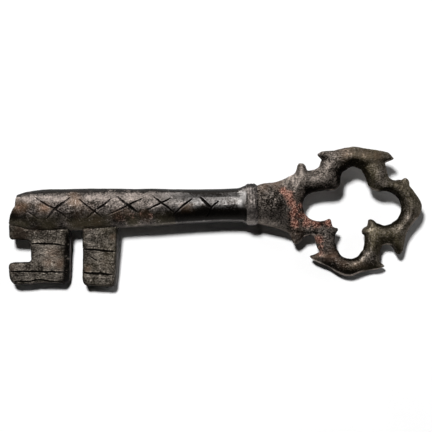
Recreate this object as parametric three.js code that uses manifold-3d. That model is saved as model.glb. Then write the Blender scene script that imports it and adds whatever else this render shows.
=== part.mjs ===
// Bronze door key: hollow tapered barrel, two bit plates, bead collar, openwork quatrefoil bow.
// Millimetres. Barrel axis along X with the tip at -X, bits hanging towards -Y, flat faces up and down.
import * as THREE from "three";
import { mergeVertices } from "three/addons/utils/BufferGeometryUtils.js";
import Module from "manifold-3d";

const wasm = await Module();
wasm.setup();

// Barrel sizes
const BARREL_LENGTH = 68.8;
const SHOULDER_RADIUS = 5.75;
const WAIST_RADIUS = 4.9;
const MIDDLE_RADIUS = 5.45;
const BELLY_RADIUS = 6.05;
const MOUTH_RADIUS = 4.5;
const BORE_RADIUS = 3.3;
const BORE_DEPTH = 38;
const CHIP_DEPTH = 2.7;

// Collar and tang sizes
const COLLAR_RADIUS = 6.1;
const COLLAR_WIDTH = 3.3;
const TANG_RADIUS = 2.5;
const TANG_LENGTH = 9;

// Bit sizes: lengths run along the barrel from its tip, drops run down from the barrel axis
const BIT_THICKNESS = 4.4;
const FRONT_BIT_LENGTH = 17.8;
const FRONT_BIT_DROP = 21.2;
const SLOT_WIDTH = 3.5;
const REAR_BIT_LENGTH = 10.1;
const REAR_BIT_DROP = 22.6;
const NOTCH_DEPTH = 6.3;
const NOTCH_TOP = 8.6;
const NOTCH_BOTTOM = 14.8;
const BIT_EDGE = 0.5;
const TENON_DEPTH = 1.5;
const TENON_THICKNESS = 3.2;
const TENON_INSET = 2.4;

// Bow sizes: reach runs from the collar to the far end, span runs across
const BOW_REACH = 47.8;
const BOW_SPAN = 37.5;
const BOW_THICKNESS = 6.2;
const NECK_RADIUS = 5.85;

// Turn about the barrel at which the key lies at rest, on its collar, barrel and lower bow bar
const LYING_ROLL = 9.6;

// Clearances of the brazed joints
const FIT_GAP = 0.15;
const BRAZE_GAP = 0.3;

// Size at which the bow outline was drawn
const DRAWN_REACH = 47.8;
const DRAWN_SPAN = 37.5;
const DRAWN_THICKNESS = 6.2;

const NECK_START = COLLAR_WIDTH + 2 * FIT_GAP;
const TIP_X = -BARREL_LENGTH;
const ROUND_STEPS = 40;
const SECTION_STEPS = 12;

// Turn a closed geometry into a solid that can be joined and cut
function solid(geometry) {
  const bare = geometry.clone();
  bare.deleteAttribute("normal");
  bare.deleteAttribute("uv");
  const welded = mergeVertices(bare, 1e-4);
  const corners = welded.index.array;
  const kept = [];
  for (let i = 0; i < corners.length; i += 3) {
    const [a, b, c] = [corners[i], corners[i + 1], corners[i + 2]];
    if (a !== b && b !== c && c !== a) kept.push(a, b, c);
  }
  const vertProperties = Float32Array.from(welded.attributes.position.array);
  const triVerts = Uint32Array.from(kept);
  return new wasm.Manifold(new wasm.Mesh({ numProp: 3, vertProperties, triVerts }));
}

function geometryOf(body) {
  const mesh = body.getMesh();
  const geometry = new THREE.BufferGeometry();
  geometry.setAttribute("position", new THREE.BufferAttribute(Float32Array.from(mesh.vertProperties), 3));
  geometry.setIndex(new THREE.BufferAttribute(Uint32Array.from(mesh.triVerts), 1));
  geometry.computeVertexNormals();
  return geometry;
}

// Turned body around the X axis from [x, radius] points
function turned(points) {
  const profile = points.map(([x, radius]) => new THREE.Vector2(radius, x));
  return solid(new THREE.LatheGeometry(profile, ROUND_STEPS).rotateZ(-Math.PI / 2));
}

function block(x0, x1, y0, y1, z0, z1) {
  const box = new THREE.BoxGeometry(x1 - x0, y1 - y0, z1 - z0);
  return solid(box.translate((x0 + x1) / 2, (y0 + y1) / 2, (z0 + z1) / 2));
}

// Flat plate with softened edges, centred on the plane of the key
function plate(outline, thickness, edge) {
  const geometry = new THREE.ExtrudeGeometry(outline, {
    depth: thickness - 2 * edge,
    bevelEnabled: edge > 0,
    bevelThickness: edge,
    bevelSize: edge,
    bevelOffset: -edge,
    bevelSegments: 2,
    curveSegments: 6,
  });
  return solid(geometry.translate(0, 0, edge - thickness / 2));
}

// Barrel outside: waist behind the collar, swelling towards the bits, worn at the mouth
function barrelProfile(extra) {
  const knots = [
    [0, SHOULDER_RADIUS],
    [0.014, 0.35 * SHOULDER_RADIUS + 0.65 * WAIST_RADIUS],
    [0.035, WAIST_RADIUS],
    [0.19, WAIST_RADIUS],
    [0.4, MIDDLE_RADIUS],
    [0.64, 0.2 * MIDDLE_RADIUS + 0.8 * BELLY_RADIUS],
    [0.78, BELLY_RADIUS],
    [0.86, BELLY_RADIUS],
    [0.92, 0.25 * MOUTH_RADIUS + 0.75 * BELLY_RADIUS],
    [0.955, 0.75 * MOUTH_RADIUS + 0.25 * BELLY_RADIUS],
    [1, MOUTH_RADIUS],
  ];
  const curve = new THREE.CatmullRomCurve3(
    knots.map(([part, radius]) => new THREE.Vector3(-part * BARREL_LENGTH, radius + extra, 0)),
  );
  return curve.getPoints(20).map((point) => [point.x, point.y]);
}

function makeBarrel() {
  const boreEnd = TIP_X + BORE_DEPTH;
  const socketRadius = TANG_RADIUS + FIT_GAP;
  const socketEnd = -TANG_LENGTH - FIT_GAP;
  const body = turned([
    [boreEnd + 0.5 * BORE_RADIUS, 0],
    [boreEnd, BORE_RADIUS],
    [TIP_X, BORE_RADIUS],
    ...barrelProfile(0).reverse(),
    [0, socketRadius],
    [socketEnd, socketRadius],
    [socketEnd, 0],
  ]);
  // Piece broken out of the mouth on the side away from the bits
  const chip = new THREE.Shape();
  chip.moveTo(TIP_X - 2, 2 * BELLY_RADIUS);
  chip.lineTo(TIP_X - 2, -0.55 * BELLY_RADIUS);
  chip.lineTo(TIP_X, -0.55 * BELLY_RADIUS);
  const chipWall = TIP_X + CHIP_DEPTH;
  chip.quadraticCurveTo(TIP_X + 0.3 * CHIP_DEPTH, -0.06 * BELLY_RADIUS, chipWall, 0.22 * BELLY_RADIUS);
  chip.lineTo(chipWall, 2 * BELLY_RADIUS);
  const chipTool = plate(chip, 4 * BELLY_RADIUS, 0);
  return body.subtract(chipTool).subtract(tenon(frontSpan(), FIT_GAP)).subtract(tenon(rearSpan(), FIT_GAP));
}

// Where each bit plate starts and ends along the barrel
function frontSpan() {
  return [TIP_X, TIP_X + FRONT_BIT_LENGTH];
}

function rearSpan() {
  const start = TIP_X + FRONT_BIT_LENGTH + SLOT_WIDTH;
  return [start, start + REAR_BIT_LENGTH];
}

// Tenon on top of a bit plate, or with a gap added the mortise that takes it
function tenon([start, end], gap) {
  const top = -(BELLY_RADIUS - TENON_DEPTH);
  const half = TENON_THICKNESS / 2 + gap;
  const foot = -BELLY_RADIUS - (gap > 0 ? 2 : BRAZE_GAP + 0.5);
  return block(start + TENON_INSET - gap, end - TENON_INSET + gap, foot, top + gap, -half, half);
}

// Bit plate hollowed along its top edge to sit on the round barrel
function seatBit(outline, span) {
  const ends = barrelProfile(BRAZE_GAP);
  const [tipX, tipRadius] = ends[ends.length - 1];
  const barrelRoom = turned([
    [tipX - 3, 0],
    [tipX - 3, tipRadius],
    ...ends.reverse(),
    [0, 0],
  ]);
  return plate(outline, BIT_THICKNESS, BIT_EDGE).subtract(barrelRoom).add(tenon(span, 0));
}

function makeFrontBit() {
  const [start, end] = frontSpan();
  const wall = start + NOTCH_DEPTH;
  const shape = new THREE.Shape();
  shape.moveTo(start + 0.3, -0.5 * BELLY_RADIUS);
  shape.lineTo(start + 0.3, -NOTCH_TOP + 1.6);
  shape.quadraticCurveTo(start + 0.4, -NOTCH_TOP + 0.5, start + 1.3, -NOTCH_TOP + 0.4);
  shape.lineTo(wall, -NOTCH_TOP);
  shape.lineTo(wall + 0.2, -NOTCH_BOTTOM + 1);
  shape.quadraticCurveTo(wall, -NOTCH_BOTTOM, wall - 1, -NOTCH_BOTTOM);
  shape.lineTo(start + 1.2, -NOTCH_BOTTOM);
  shape.quadraticCurveTo(start, -NOTCH_BOTTOM, start, -NOTCH_BOTTOM - 1.2);
  shape.lineTo(start + 0.1, -FRONT_BIT_DROP + 2.6);
  shape.quadraticCurveTo(start + 0.4, -FRONT_BIT_DROP + 0.3, start + 1.9, -FRONT_BIT_DROP + 0.1);
  shape.quadraticCurveTo(start + 4.5, -FRONT_BIT_DROP - 0.2, start + 8, -FRONT_BIT_DROP + 0.35);
  shape.quadraticCurveTo(start + 11, -FRONT_BIT_DROP + 0.1, end - 2.2, -FRONT_BIT_DROP);
  shape.quadraticCurveTo(end - 0.7, -FRONT_BIT_DROP, end - 0.6, -FRONT_BIT_DROP + 1.4);
  shape.lineTo(end, -BELLY_RADIUS - 1.5);
  shape.lineTo(end, -0.5 * BELLY_RADIUS);
  return seatBit(shape, frontSpan());
}

function makeRearBit() {
  const [start, end] = rearSpan();
  const shape = new THREE.Shape();
  shape.moveTo(start + 0.2, -0.5 * BELLY_RADIUS);
  shape.lineTo(start + 0.1, -0.6 * REAR_BIT_DROP);
  shape.lineTo(start - 0.2, -REAR_BIT_DROP + 3);
  shape.quadraticCurveTo(start - 0.2, -REAR_BIT_DROP + 0.8, start + 1.1, -REAR_BIT_DROP + 0.6);
  shape.quadraticCurveTo(start + 4, -REAR_BIT_DROP + 0.3, end - 2.2, -REAR_BIT_DROP);
  shape.quadraticCurveTo(end - 1, -REAR_BIT_DROP, end - 0.9, -REAR_BIT_DROP + 1.2);
  shape.lineTo(end, -0.45 * REAR_BIT_DROP);
  shape.lineTo(end + 0.2, -BELLY_RADIUS - 1.2);
  shape.quadraticCurveTo(end + 0.3, -BELLY_RADIUS, end + 1.1, -0.9 * BELLY_RADIUS);
  shape.lineTo(end + 1.1, -0.5 * BELLY_RADIUS);
  return seatBit(shape, rearSpan());
}

// Bead ring threaded on the tang between barrel and bow
function makeCollar() {
  const hole = TANG_RADIUS + FIT_GAP;
  const bead = new THREE.CatmullRomCurve3([
    new THREE.Vector3(COLLAR_WIDTH, COLLAR_RADIUS - 0.55, 0),
    new THREE.Vector3(0.85 * COLLAR_WIDTH, COLLAR_RADIUS - 0.1, 0),
    new THREE.Vector3(0.5 * COLLAR_WIDTH, COLLAR_RADIUS, 0),
    new THREE.Vector3(0.15 * COLLAR_WIDTH, COLLAR_RADIUS - 0.1, 0),
    new THREE.Vector3(0, SHOULDER_RADIUS + 0.1, 0),
  ]);
  const rim = bead.getPoints(10).map((point) => [point.x + FIT_GAP, point.y]);
  return turned([[FIT_GAP, hole], [COLLAR_WIDTH + FIT_GAP, hole], ...rim, [FIT_GAP, hole]].reverse());
}

// Round ends of the quatrefoil opening: centre and radius on the bow drawing
const LEFT_LOBE = { x: 17.6, y: -0.7, radius: 4.6 };
const TOP_LOBE = { x: 27.8, y: 6.6, radius: 3.5 };
const RIGHT_LOBE = { x: 36.4, y: -2.2, radius: 4.9 };
const BOTTOM_LOBE = { x: 26.4, y: -12.3, radius: 4.1 };

// Point on the rim of a lobe at an angle in degrees
function rim(lobe, angle) {
  const turn = THREE.MathUtils.degToRad(angle);
  return [lobe.x + lobe.radius * Math.cos(turn), lobe.y + lobe.radius * Math.sin(turn)];
}

// Ridged bar of the bow. Each station gives one edge point, the facing edge point and the half height.
// The fullness of each flank is 2 for an oval section and less for one that falls straight from the ridge.
function limb(stations, fullness, facingFullness) {
  const across = BOW_SPAN / DRAWN_SPAN;
  const along = BOW_REACH / DRAWN_REACH;
  const up = BOW_THICKNESS / DRAWN_THICKNESS;
  const place = (x, y, height) => new THREE.Vector3(NECK_START + x * along, y * across, height * up);
  const firstEdge = new THREE.CatmullRomCurve3(stations.map(([x, y, , , height]) => place(x, y, height)));
  const facingEdge = new THREE.CatmullRomCurve3(stations.map(([, , x, y]) => place(x, y, 0)));
  const rings = 3 * (stations.length - 1);
  const positions = [];
  const faces = [];
  for (let ring = 0; ring <= rings; ring += 1) {
    const a = firstEdge.getPoint(ring / rings);
    const b = facingEdge.getPoint(ring / rings);
    for (let step = 0; step < SECTION_STEPS; step += 1) {
      const angle = (2 * Math.PI * (step + 0.5)) / SECTION_STEPS;
      const power = 2 / (Math.cos(angle) > 0 ? fullness : facingFullness);
      const side = Math.sign(Math.cos(angle)) * Math.abs(Math.cos(angle)) ** power;
      const rise = Math.sign(Math.sin(angle)) * Math.abs(Math.sin(angle)) ** power;
      const share = 0.5 + 0.5 * side;
      positions.push(b.x + (a.x - b.x) * share, b.y + (a.y - b.y) * share, a.z * rise);
    }
  }
  for (let ring = 0; ring < rings; ring += 1) {
    for (let step = 0; step < SECTION_STEPS; step += 1) {
      const next = (step + 1) % SECTION_STEPS;
      const here = ring * SECTION_STEPS;
      const there = here + SECTION_STEPS;
      faces.push(here + step, there + step, here + next);
      faces.push(here + next, there + step, there + next);
    }
  }
  for (let step = 1; step < SECTION_STEPS - 1; step += 1) {
    const last = rings * SECTION_STEPS;
    faces.push(0, step, step + 1);
    faces.push(last, last + step + 1, last + step);
  }
  const geometry = new THREE.BufferGeometry();
  geometry.setAttribute("position", new THREE.Float32BufferAttribute(positions, 3));
  geometry.setIndex(faces);
  const body = solid(geometry);
  return body.volume() > 0 ? body : solid(flipped(geometry));
}

// Same surface with its faces turned the other way
function flipped(geometry) {
  const index = geometry.index.array;
  const turnedOver = [];
  for (let i = 0; i < index.length; i += 3) turnedOver.push(index[i], index[i + 2], index[i + 1]);
  const copy = geometry.clone();
  copy.setIndex(turnedOver);
  return copy;
}

// Neck growing from the round collar seat into the flat bow
function neck() {
  return limb([
    [0, 5.85, 0, -5.85, NECK_RADIUS],
    [1.9, 6.3, 1.9, -6.3, 6.05],
    [4.9, 6.55, 4.9, -7.15, 5.8],
    [7.9, 7.5, 7.7, -8.4, 4.8],
    [9.6, 8.4, 9.2, -9.1, 3.9],
    [11.2, 8.9, 11.0, -9.3, 3.1],
  ], 2, 2);
}

// Yoke around the left lobe, from the top bar round to the bottom bar
function yoke() {
  return limb([
    [20.6, 13.8, ...rim(TOP_LOBE, 142), 2.6],
    [18.6, 12.2, ...rim(TOP_LOBE, 165), 2.9],
    [18.0, 10.6, 24.1, 5.2, 3.0],
    [16.5, 9.7, 22.5, 3.65, 3.1],
    [13.9, 9.4, ...rim(LEFT_LOBE, 88), 3.1],
    [10.5, 8.6, ...rim(LEFT_LOBE, 135), 3.3],
    [7.7, 2.1, ...rim(LEFT_LOBE, 172), 3.6],
    [7.7, -3.9, ...rim(LEFT_LOBE, 205), 3.6],
    [9.9, -9.2, ...rim(LEFT_LOBE, 236), 3.3],
    [13.1, -9.9, ...rim(LEFT_LOBE, 268), 3.1],
    [15.7, -9.5, 20.6, -5.3, 3.1],
    [17.1, -11.6, 22.0, -9.0, 3.0],
    [17.7, -13.8, ...rim(BOTTOM_LOBE, 176), 2.9],
    [18.9, -16.4, ...rim(BOTTOM_LOBE, 212), 2.7],
  ], 1.9, 1.7);
}

// Bar over the top lobe, ending in a pointed hook each side
function topBar() {
  return limb([
    [17.7, 14.1, 17.9, 13.5, 0.8],
    [19.2, 14.9, 18.9, 12.3, 1.7],
    [22.4, 15.0, 21.5, 10.1, 2.7],
    [25.4, 15.8, ...rim(TOP_LOBE, 146), 3.1],
    [28.4, 16.1, ...rim(TOP_LOBE, 95), 3.1],
    [32.4, 15.4, ...rim(TOP_LOBE, 44), 3.1],
    [35.9, 14.7, 33.5, 8.8, 2.9],
    [38.3, 13.9, 37.1, 10.8, 2.1],
    [39.9, 12.2, 39.5, 11.8, 0.8],
  ], 2.1, 1.4);
}

// Bar from the top lobe round the right lobe, ending in the lower right point
function rightBar() {
  return limb([
    [36.9, 12.3, ...rim(TOP_LOBE, 50), 2.7],
    [37.7, 9.4, ...rim(TOP_LOBE, 0), 3.0],
    [38.1, 7.2, 32.1, 4.2, 3.0],
    [39.7, 6.0, 34.5, 2.6, 2.9],
    [41.5, 6.1, ...rim(RIGHT_LOBE, 80), 2.9],
    [43.5, 4.8, ...rim(RIGHT_LOBE, 50), 3.0],
    [45.9, 1.9, ...rim(RIGHT_LOBE, 22), 3.1],
    [47.8, -1.4, ...rim(RIGHT_LOBE, 2), 3.1],
    [47.4, -4.2, ...rim(RIGHT_LOBE, -18), 3.1],
    [45.1, -7.0, ...rim(RIGHT_LOBE, -42), 3.1],
    [42.9, -9.9, ...rim(RIGHT_LOBE, -68), 3.1],
    [42.1, -12.7, 37.3, -11.4, 2.9],
    [41.7, -15.0, 38.8, -14.2, 2.3],
    [41.0, -16.8, 39.7, -16.6, 1.2],
  ], 1.8, 1.6);
}

// Short bar joining the right lobe to the bottom lobe
function lowerRightBar() {
  return limb([
    [41.4, -11.9, ...rim(RIGHT_LOBE, -62), 2.7],
    [38.4, -13.0, ...rim(RIGHT_LOBE, -88), 3.0],
    [36.1, -12.9, 33.8, -6.3, 3.1],
    [35.2, -14.2, 30.8, -8.8, 3.1],
    [35.0, -16.4, ...rim(BOTTOM_LOBE, 5), 3.0],
    [34.4, -19.0, ...rim(BOTTOM_LOBE, -35), 2.8],
  ], 1.7, 1.9);
}

// Bar under the bottom lobe, ending in a pointed hook each side
function bottomBar() {
  return limb([
    [36.3, -19.1, 35.9, -18.5, 0.8],
    [34.1, -19.9, 34.8, -17.6, 1.7],
    [31.4, -20.2, ...rim(BOTTOM_LOBE, -22), 2.8],
    [28.7, -20.6, ...rim(BOTTOM_LOBE, -58), 3.0],
    [25.9, -21.2, ...rim(BOTTOM_LOBE, -92), 3.0],
    [22.9, -20.5, ...rim(BOTTOM_LOBE, -130), 3.0],
    [19.4, -18.5, ...rim(BOTTOM_LOBE, -165), 2.8],
    [16.9, -17.4, 18.1, -14.2, 2.2],
    [15.5, -16.6, 16.2, -14.9, 1.5],
    [14.6, -15.6, 14.9, -15.2, 0.7],
  ], 1.5, 2.1);
}

// Barbs outside the bow and the paired points of the two lower cusps inside it
function points() {
  return [
    [[10.7, 8.2, 15.1, 8.6, 2.8], [11.5, 9.9, 14.4, 9.8, 2.3], [11.8, 10.9, 14.1, 10.7, 1.9],
      [12.2, 11.6, 13.6, 11.4, 1.4]],
    [[8.7, -8.4, 13.7, -9.4, 2.8], [9.6, -10.1, 13.2, -10.4, 2.2], [10.3, -11.2, 12.7, -11.1, 1.7],
      [10.9, -11.8, 12.1, -11.7, 1.2]],
    [[41.1, 5.2, 44.0, 3.2, 2.6], [42.0, 6.1, 44.1, 4.4, 2.1], [42.5, 6.4, 44.1, 5.1, 1.7],
      [43.0, 6.5, 43.9, 5.7, 1.2]],
    [[34.5, -6.8, 31.3, -8.0, 2.6], [33.5, -5.7, 31.7, -6.4, 1.8], [32.7, -5.2, 31.9, -5.4, 0.8]],
    [[32.5, -7.0, 31.3, -10.2, 2.6], [30.9, -7.4, 30.1, -9.6, 1.9], [30.1, -8.0, 29.8, -8.8, 0.8]],
    [[18.4, -5.6, 21.7, -7.8, 2.6], [19.7, -5.0, 21.3, -6.3, 1.8], [20.5, -4.7, 21.0, -5.1, 0.8]],
    [[20.7, -6.4, 21.7, -10.2, 2.6], [21.9, -7.2, 22.5, -9.1, 1.8], [23.0, -7.5, 23.1, -8.2, 0.8]],
  ].map((stations) => limb(stations, 2, 2));
}

function makeBow() {
  const tang = turned([
    [-TANG_LENGTH, 0],
    [-TANG_LENGTH, TANG_RADIUS],
    [NECK_START + 2, TANG_RADIUS],
    [NECK_START + 2, 0],
  ].reverse());
  const bars = [yoke(), topBar(), rightBar(), lowerRightBar(), bottomBar(), tang, ...points()];
  return bars.reduce((whole, part) => whole.add(part), neck());
}

function piece(name, body, color, roughness, metalness) {
  const material = new THREE.MeshStandardMaterial({ color, roughness, metalness });
  material.name = `${name}_bronze`;
  const mesh = new THREE.Mesh(geometryOf(body), material);
  mesh.name = name;
  return mesh;
}

const key = new THREE.Group();
key.name = "bronze_door_key";
key.add(piece("barrel", makeBarrel(), 0x3d3734, 0.5, 0.8));
key.add(piece("front_bit", makeFrontBit(), 0x4a4039, 0.6, 0.7));
key.add(piece("rear_bit", makeRearBit(), 0x464138, 0.6, 0.7));
key.add(piece("collar", makeCollar(), 0x45403c, 0.5, 0.8));
key.add(piece("bow", makeBow(), 0x453d33, 0.6, 0.7));

// Roll the key to its rest, set its lowest point at z = 0 and centre its plan on the origin
const roll = THREE.MathUtils.degToRad(LYING_ROLL);
key.children.forEach((mesh) => mesh.geometry.rotateX(roll));
const bounds = new THREE.Box3().setFromObject(key);
const middle = bounds.getCenter(new THREE.Vector3());
key.children.forEach((mesh) => mesh.geometry.translate(-middle.x, -middle.y, -bounds.min.z));

export default key;
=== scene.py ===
import math

import bmesh
import bpy
import numpy as np
from bpy.props import FloatProperty, FloatVectorProperty, PointerProperty
from mathutils import Matrix, Vector


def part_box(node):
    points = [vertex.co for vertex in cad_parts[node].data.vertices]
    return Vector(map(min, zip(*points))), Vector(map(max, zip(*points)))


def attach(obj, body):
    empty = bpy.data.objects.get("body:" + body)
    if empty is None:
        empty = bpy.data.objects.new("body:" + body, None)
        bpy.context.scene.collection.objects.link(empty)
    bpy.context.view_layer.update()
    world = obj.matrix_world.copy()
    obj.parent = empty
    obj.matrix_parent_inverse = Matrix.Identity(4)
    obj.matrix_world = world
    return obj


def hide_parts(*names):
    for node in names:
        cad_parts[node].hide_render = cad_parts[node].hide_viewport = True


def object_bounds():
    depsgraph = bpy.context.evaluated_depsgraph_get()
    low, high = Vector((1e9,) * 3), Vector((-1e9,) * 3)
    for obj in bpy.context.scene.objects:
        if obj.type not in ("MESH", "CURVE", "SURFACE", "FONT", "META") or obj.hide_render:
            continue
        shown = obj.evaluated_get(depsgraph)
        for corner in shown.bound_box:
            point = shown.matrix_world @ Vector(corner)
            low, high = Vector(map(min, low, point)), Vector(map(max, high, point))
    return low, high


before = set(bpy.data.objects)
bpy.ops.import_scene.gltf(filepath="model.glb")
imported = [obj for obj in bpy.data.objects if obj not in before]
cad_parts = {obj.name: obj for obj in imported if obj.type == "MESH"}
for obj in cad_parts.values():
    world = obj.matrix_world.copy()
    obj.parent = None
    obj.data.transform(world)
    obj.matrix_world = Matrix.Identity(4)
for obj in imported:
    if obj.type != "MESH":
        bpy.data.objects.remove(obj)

bl_info = {
    "name": "Bronze Door Key",
    "version": (1, 0, 0),
    "blender": (4, 5, 0),
    "location": "View3D > Sidebar > Door Key",
    "description": "Worn bronze door key with a scored barrel, notched bits and an openwork bow",
    "category": "Object",
}

CAD_BOX = [list(map(float, corner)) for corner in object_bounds()]
MM = 0.001

# The barrel's axis in the frame, and where the key's drawing has it, in millimetres
COLLAR_LOW, COLLAR_HIGH = (np.array(corner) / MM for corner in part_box("collar"))
AXIS_Y = (COLLAR_LOW[1] + COLLAR_HIGH[1]) / 2
AXIS_Z = (COLLAR_LOW[2] + COLLAR_HIGH[2]) / 2
DRAWN_AXIS_Y = 0.4
DRAWN_COLLAR = (8.65, 11.95)
LYING_ROLL = math.radians(9.6)

# Places on the drawing: where the worn mouth starts, the upper ends of the bits, and the lower right hook
WORN_MOUTH_X = -58.0
BIT_ROOT_Y = -6.8
HOOK = (49.5, -12.5)

# Width of the picture in its own pixels, and the pixel at which the key's drawing has its origin
PICTURE_WIDTH = 432
ORIGIN_PIXEL = (216.2, 207.0)

# Rounds of evening out: steps of every skin, and ridges of the bits and of the bow
SETTLING = 8
BIT_SOFTENING = 6
BOW_SOFTENING = 50
# The barrel's steps are this much wider than the others', which keeps its skin light
BARREL_COARSER = 1.06
# A skin with fewer points than these has come out empty
LEAST_POINTS = 500
# Distance from a scored line, in its half widths, that stands for none near
NO_LINE = 9.0
# Sizes of the patches, the broad clouds and the long scratches in every bronze, in millimetres
PATCH_MM = 2.4
BROAD_MM = 7.0
SCRATCH_MM = 0.55

# Near lamp: place and radius in metres, and level. Far lamps: name, direction, width as an angle, and level
NEAR_LAMP = ((-0.105, 0.178, 0.540), 0.050, 1.08)
FAR_LAMPS = (
    ("side lamp", (0.85, 0.35, 0.38), math.radians(50), 0.062),
    ("low lamp", (-0.25, 0.80, 0.012), math.radians(1.5), 0.0075),
)
FLOOR_REACH = 20.0
# Heights on the sky, from 0 to 1, between which the white band round the horizon fades out
BAND_FADE = (0.03, 0.10)
# Light that the room itself gives
ROOM_GLOW = 0.002


def size_property(name, description, default, low, high):
    return FloatProperty(
        name=name, description=description, default=default, min=low, max=high,
        subtype="DISTANCE", unit="LENGTH")


def colour_property(name, description, default):
    return FloatVectorProperty(
        name=name, description=description, default=default, size=3, min=0.0, max=1.0, subtype="COLOR")


class BarrelSettings(bpy.types.PropertyGroup):
    fineness: size_property("Fineness", "Width of one step of a worked skin", 0.00022, 0.00015, 0.001)
    cut_depth: size_property("Cut depth", "Depth of the lattice across the barrel", 0.00036, 0.0, 0.001)
    cut_width: size_property("Cut width", "Width of the lattice across the barrel", 0.00064, 0.0001, 0.002)
    metal: colour_property("Metal", "Colour of the rubbed bronze", (0.310, 0.264, 0.236))
    patina: colour_property("Patina", "Colour of the dark skin on the bronze", (0.0120, 0.0095, 0.0075))
    worn: colour_property("Worn metal", "Colour of the smooth stretch by the collar", (0.290, 0.276, 0.268))
    brown: colour_property("Brown", "Colour of the warm patches", (0.140, 0.080, 0.044))


class BitSettings(bpy.types.PropertyGroup):
    cut_depth: size_property("Cut depth", "Depth of the lines across the bits", 0.00045, 0.0, 0.001)
    cut_width: size_property("Cut width", "Width of the lines across the bits", 0.00058, 0.0001, 0.002)
    metal: colour_property("Metal", "Colour of the dull bronze of the bits", (0.270, 0.235, 0.200))
    patina: colour_property("Patina", "Colour of the dark skin on the bits", (0.0140, 0.0115, 0.0090))
    brown: colour_property("Brown", "Colour of the warm patches", (0.110, 0.068, 0.046))


class BowSettings(bpy.types.PropertyGroup):
    skin_depth: size_property("Skin depth", "Depth of the grain of the cast skin", 0.00004, 0.0, 0.001)
    metal: colour_property("Metal", "Colour of the cast bronze of the bow", (0.310, 0.265, 0.232))
    patina: colour_property("Patina", "Colour of the dark skin on the bow", (0.0105, 0.0082, 0.0060))
    brown: colour_property("Brown", "Colour of the warm patches", (0.112, 0.068, 0.046))
    crust: colour_property("Crust", "Colour of the red-brown crust", (0.640, 0.350, 0.262))
    olive: colour_property("Olive", "Colour of the olive bloom", (0.104, 0.087, 0.048))


class StageSettings(bpy.types.PropertyGroup):
    floor_colour: colour_property("Floor colour", "Colour of the plain floor", (0.98, 0.98, 0.98))
    lens: FloatProperty(
        name="Lens", description="Focal length of the camera",
        default=86.2, min=20.0, max=300.0, subtype="DISTANCE_CAMERA")
    view_width: size_property("View width", "Width of what the picture takes in", 0.12528, 0.05, 1.0)
    tilt: FloatProperty(
        name="Tilt", description="Turn of the key in the picture",
        default=math.radians(1.64), min=-math.pi, max=math.pi, subtype="ANGLE", unit="ROTATION")


# Lines scored into the seen side, in millimetres on the drawing: share of the width, then the points
BARREL_CUTS = (
    (0.8, (-51.7, 4.1), (-45.9, 0.7), (-41.2, -3.0)), (1.15, (-41.6, 3.9), (-45.9, 0.6), (-48.4, -2.1)),
    (0.65, (-53.7, 0.2), (-49.3, -3.0)), (0.85, (-39.1, 3.4), (-34.7, -0.4), (-31.3, -3.1)),
    (0.95, (-29.7, 3.2), (-34.7, -0.4), (-37.3, -2.4)), (1.25, (-28.2, 3.8), (-25.2, 1.3), (-22.2, -1.2)),
    (0.8, (-20.7, 3.1), (-24.9, 1.3), (-30.8, -1.5)), (0.95, (-18.0, 3.9), (-15.4, 1.6), (-11.8, -1.3)),
    (0.85, (-12.6, 3.0), (-15.1, 1.9), (-19.3, -0.2)), (0.9, (-6.7, 2.7), (-11.4, -1.0), (-12.7, -2.5)),
    (1.1, (-4.5, 3.0), (-1.4, -0.3)), (0.8, (0.7, 1.8), (-1.4, -0.3), (-2.8, -2.7)),
)
FRONT_BIT_CUTS = (
    (0.95, (-53.6, -9.0), (-49.0, -9.2), (-43.6, -9.9)),
    (0.95, (-59.8, -16.9), (-52.0, -17.2), (-43.8, -17.5)),
    (0.85, (-59.0, -19.9), (-54.5, -20.0), (-51.5, -19.6), (-48.4, -20.1), (-44.8, -20.3)),
)
REAR_BIT_CUTS = (
    (1.05, (-38.9, -10.9), (-29.4, -12.1)), (1.15, (-38.9, -17.9), (-30.6, -18.7)),
    (0.4, (-36.9, -13.1), (-34.8, -14.4)),
)

# Crests painted bright as highlights, partly over worn metal, written like the scored lines
BARREL_CRESTS = (
    (1.6, (-34.5, 3.7), (-29.0, 3.5), (-22.2, 3.3)), (1.2, (-50.5, 4.1), (-45.5, 4.2)),
    (1.0, (-18.4, 0.1), (-15.2, 1.2)), (1.0, (-27.6, -1.3), (-24.8, -0.2)),
    (0.8, (-12.8, -1.7), (-9.6, 0.7)),
)
FRONT_BIT_CRESTS = (
    (1.0, (-58.6, -20.8), (-51.4, -20.5), (-45.2, -21.0)), (0.7, (-53.4, -9.6), (-44.0, -10.4)),
)
REAR_BIT_CRESTS = ((0.7, (-38.2, -18.8), (-34.0, -19.2), (-30.8, -19.4)),)
BOW_CRESTS = (
    (0.8, (56.4, -1.4), (55.9, -3.8), (54.3, -6.2), (52.2, -7.9)),
    (1.2, (37.4, -17.8), (40.2, -17.2), (42.2, -15.4), (43.2, -13.9)),
    (0.9, (42.9, -8.6), (43.6, -10.6), (43.2, -12.6)),
    (0.7, (30.8, 8.4), (32.6, 11.0), (34.6, 13.2), (37.4, 14.4)),
    (1.0, (46.2, 7.4), (46.6, 9.8), (46.0, 11.6)), (0.8, (48.4, 6.2), (50.8, 5.6)),
    (0.8, (44.0, -7.2), (45.2, -8.4)),
)
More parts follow.
